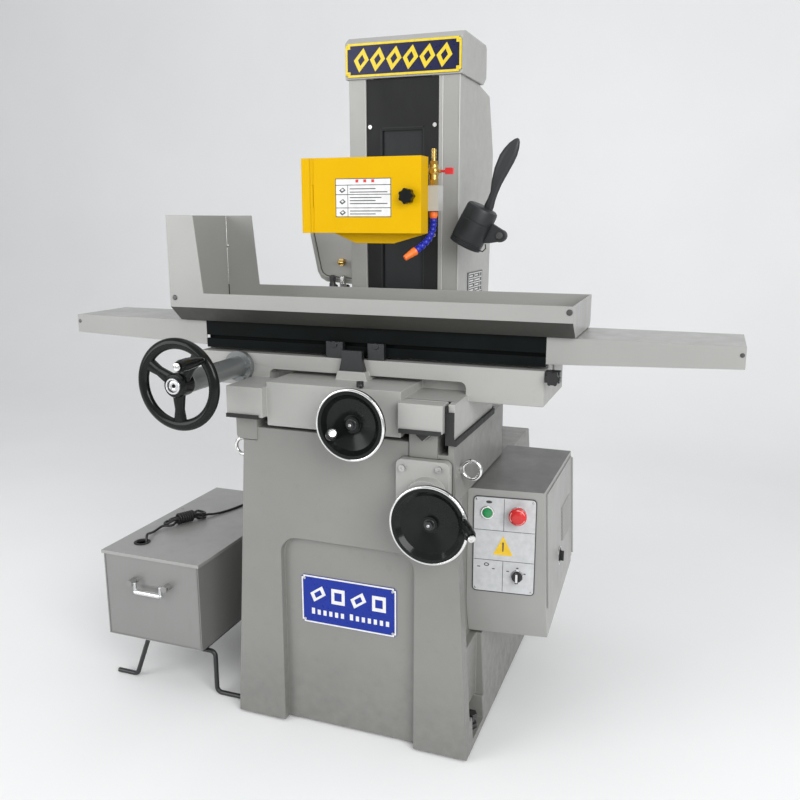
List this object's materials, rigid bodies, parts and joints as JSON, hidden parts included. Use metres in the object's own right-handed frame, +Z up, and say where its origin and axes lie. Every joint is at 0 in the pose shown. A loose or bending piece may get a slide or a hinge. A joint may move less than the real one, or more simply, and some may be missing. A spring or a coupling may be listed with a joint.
{
  "type": "surface grinder",
  "caption": "Hand-fed surface grinder: cross and table slides on a cast base, a guarded wheel head on a column, and a coolant tank on a stand.",
  "frame": {"origin": "on the floor, at the centre of the four levelling feet", "axes": "+X to the operator's right along the table travel, +Y away from the operator, +Z up"},
  "size_m": [1.608, 1.009, 1.642],
  "materials": {
    "grey_paint": "satin machine paint",
    "cast_iron": "ground and scraped",
    "black_paint": "satin",
    "dark_steel": "blackened",
    "steel": "bright",
    "chrome": "polished",
    "tank_grey": "metallic grey",
    "yellow_paint": "gloss",
    "plate_print": "printed plate",
    "black_plastic": "moulded",
    "rubber": "matt",
    "green_plastic": "moulded",
    "red_plastic": "moulded",
    "brass": "turned",
    "blue_plastic": "moulded",
    "abrasive": "bonded grit",
    "aluminium": "satin"
  },
  "bodies": {
    "base": {"base_casting": "grey_paint", "levelling_feet": "dark_steel", "eyebolts": "dark_steel", "plates": "plate_print", "elevating_bracket": "grey_paint", "cross_nut": "cast_iron", "column": "grey_paint", "column_cap": "grey_paint", "slot_cover": "black_paint", "fasteners": "dark_steel", "side_housing": "grey_paint", "box_shell": "grey_paint", "box_panel": "aluminium", "box_internals": "black_plastic", "cord_gland": "black_plastic", "tank_body": "tank_grey", "tank_lid": "tank_grey", "tank_stand": "black_paint", "tank_pump": "cast_iron", "pump_hank": "rubber", "pump_cord": "rubber"},
    "saddle": {"saddle": "grey_paint", "saddle_fittings": "rubber", "wheel_tube": "grey_paint"},
    "cross_wheel": {"cross_wheel": "black_plastic"},
    "cross_grip": {"cross_grip": "black_plastic"},
    "table_wheel": {"table_wheel": "black_plastic"},
    "table_grip": {"table_grip": "black_plastic"},
    "table_pinion": {"table_pinion": "steel"},
    "saddle_lock": {"saddle_lock": "black_plastic"},
    "table_lock": {"table_lock": "black_plastic"},
    "table": {"table": "black_paint", "tray": "grey_paint", "way_guards": "grey_paint", "rack": "steel"},
    "stop_dog_left": {"stop_dog_left": "black_paint"},
    "stop_dog_right": {"stop_dog_right": "black_paint"},
    "lift_wheel": {"lift_wheel": "black_plastic"},
    "lift_grip": {"lift_grip": "black_plastic"},
    "lay_shaft": {"lay_shaft": "steel"},
    "lift_screw": {"lift_screw": "steel"},
    "head": {"head_carriage": "cast_iron", "motor_shell": "aluminium", "slot_shutter": "black_paint", "guard_shell": "yellow_paint", "coolant_valve": "brass"},
    "spindle": {"spindle_shaft": "steel", "grinding_wheel": "abrasive"},
    "guard_door": {"guard_door": "yellow_paint"},
    "door_knob": {"door_knob": "black_plastic"},
    "valve_handle": {"valve_handle": "red_plastic"},
    "coolant_hose": {"coolant_hose": "blue_plastic"},
    "lamp_arm": {"lamp_arm": "black_paint"},
    "lamp_head": {"lamp_head": "black_paint"},
    "box_door": {"box_door": "grey_paint"},
    "box_latch": {"box_latch": "black_plastic"},
    "start_button": {"start_button": "green_plastic"},
    "emergency_stop": {"emergency_stop": "red_plastic"},
    "selector_knob": {"selector_knob": "black_plastic"},
    "tank_handle": {"tank_handle": "chrome"}
  },
  "joints": [
    {"name": "saddle_feed", "type": "slide", "parent": "base", "child": "saddle", "axis": [0, 1, 0], "range_m": [-0.1, 0.045]},
    {"name": "cross_wheel_turn", "type": "hinge", "parent": "saddle", "child": "cross_wheel", "pos_m": [0.048, -0.44, 0.783], "axis": [0, 1, 0], "range_deg": [-7201, 3241]},
    {"name": "cross_grip_spin", "type": "hinge", "parent": "cross_wheel", "child": "cross_grip", "pos_m": [0, -0.442, 0.752], "axis": [0.4721, -0.7801, 0.4106], "continuous": true},
    {"name": "table_travel", "type": "slide", "parent": "saddle", "child": "table", "axis": [1, 0, 0], "range_m": [-0.235, 0.235]},
    {"name": "table_wheel_turn", "type": "hinge", "parent": "saddle", "child": "table_wheel", "pos_m": [-0.31, -0.53, 0.861], "axis": [0, 1, 0], "range_deg": [-673.3, 673.3]},
    {"name": "table_grip_spin", "type": "hinge", "parent": "table_wheel", "child": "table_grip", "pos_m": [-0.24, -0.538, 0.92], "axis": [0, -1, 0], "continuous": true},
    {"name": "table_pinion_turn", "type": "hinge", "parent": "saddle", "child": "table_pinion", "pos_m": [-0.1, -0.172, 0.861], "axis": [0, 1, 0], "range_deg": [-673.3, 673.3]},
    {"name": "saddle_lock_turn", "type": "hinge", "parent": "saddle", "child": "saddle_lock", "pos_m": [0.036, -0.362, 0.85], "axis": [0, 0, 1], "range_deg": [-60, 0]},
    {"name": "table_lock_turn", "type": "hinge", "parent": "saddle", "child": "table_lock", "pos_m": [0.44, -0.29, 0.88], "axis": [0, 1, 0], "range_deg": [-360, 0]},
    {"name": "stop_left_slide", "type": "slide", "parent": "table", "child": "stop_dog_left", "axis": [1, 0, 0], "range_m": [-0.29, 0.015]},
    {"name": "stop_right_slide", "type": "slide", "parent": "table", "child": "stop_dog_right", "axis": [1, 0, 0], "range_m": [-0.015, 0.3]},
    {"name": "lift_wheel_turn", "type": "hinge", "parent": "base", "child": "lift_wheel", "pos_m": [0.222, -0.44, 0.584], "axis": [0, 1, 0], "range_deg": [-18901, 16201]},
    {"name": "lift_grip_spin", "type": "hinge", "parent": "lift_wheel", "child": "lift_grip", "pos_m": [0.292, -0.448, 0.611], "axis": [0.5584, -0.7755, -0.2947], "continuous": true},
    {"name": "lay_shaft_turn", "type": "hinge", "parent": "base", "child": "lay_shaft", "pos_m": [0.1, -0.31, 0.584], "axis": [0, 1, 0], "range_deg": [-5401, 6301]},
    {"name": "lift_screw_turn", "type": "hinge", "parent": "base", "child": "lift_screw", "pos_m": [0.1, 0.16, 0.7], "axis": [0, 0, 1], "range_deg": [-5401, 6301]},
    {"name": "head_lift", "type": "slide", "parent": "base", "child": "head", "axis": [0, 0, 1], "range_m": [-0.105, 0.09]},
    {"name": "spindle_spin", "type": "hinge", "parent": "head", "child": "spindle", "pos_m": [-0.009, -0.08, 1.253], "axis": [0, 1, 0], "continuous": true},
    {"name": "guard_door_swing", "type": "hinge", "parent": "head", "child": "guard_door", "pos_m": [-0.13, -0.2405, 1.255], "axis": [0, 0, -1], "range_deg": [0, 100]},
    {"name": "door_knob_turn", "type": "hinge", "parent": "guard_door", "child": "door_knob", "pos_m": [0.103, -0.25, 1.253], "axis": [0, 1, 0], "range_deg": [-1080, 0]},
    {"name": "valve_turn", "type": "hinge", "parent": "head", "child": "valve_handle", "pos_m": [0.16, -0.175, 1.308], "axis": [1, 0, 0], "range_deg": [0, 90]},
    {"name": "coolant_hose_swivel", "type": "hinge", "parent": "head", "child": "coolant_hose", "pos_m": [0.139, -0.175, 1.215], "axis": [0, 0, 1], "range_deg": [-8, 60]},
    {"name": "lamp_arm_swing", "type": "hinge", "parent": "base", "child": "lamp_arm", "pos_m": [0.158, 0.128, 1.16], "axis": [0, 0, 1], "range_deg": [-20, 60]},
    {"name": "lamp_tilt", "type": "hinge", "parent": "lamp_arm", "child": "lamp_head", "pos_m": [0.26, -0.04, 1.1655], "axis": [0, 1, 0], "range_deg": [-35, 35]},
    {"name": "box_door_swing", "type": "hinge", "parent": "base", "child": "box_door", "pos_m": [0.43065, 0.13, 0.46], "axis": [-0.0415, 0, 0.9991], "range_deg": [0, 110]},
    {"name": "box_latch_turn", "type": "hinge", "parent": "box_door", "child": "box_latch", "pos_m": [0.42985, -0.058, 0.395], "axis": [1, 0, 0], "range_deg": [0, 90]},
    {"name": "start_push", "type": "slide", "parent": "base", "child": "start_button", "axis": [-0.1085, 0.9941, 0], "range_m": [0, 0.003], "stiffness_N_per_m": 800, "springref_m": -0.002},
    {"name": "stop_push", "type": "slide", "parent": "base", "child": "emergency_stop", "axis": [-0.1085, 0.9941, 0], "range_m": [0, 0.006]},
    {"name": "selector_turn", "type": "hinge", "parent": "base", "child": "selector_knob", "pos_m": [0.36661, -0.2343, 0.406], "axis": [-0.1085, 0.9941, 0], "range_deg": [-45, 45]},
    {"name": "tank_handle_fold", "type": "hinge", "parent": "base", "child": "tank_handle", "pos_m": [-0.544, -0.386, 0.3], "axis": [1, 0, 0], "range_deg": [-75, 0]}
  ],
  "couplings": [
    {"joint": "cross_wheel_turn", "follows": "saddle_feed", "rad_per_m": 1256.6},
    {"joint": "table_wheel_turn", "follows": "table_travel", "rad_per_m": 50},
    {"joint": "table_pinion_turn", "follows": "table_travel", "rad_per_m": 50},
    {"joint": "lift_wheel_turn", "follows": "head_lift", "rad_per_m": 3141.6},
    {"joint": "lay_shaft_turn", "follows": "head_lift", "rad_per_m": -1047.2},
    {"joint": "lift_screw_turn", "follows": "head_lift", "rad_per_m": -1047.2}
  ]
}
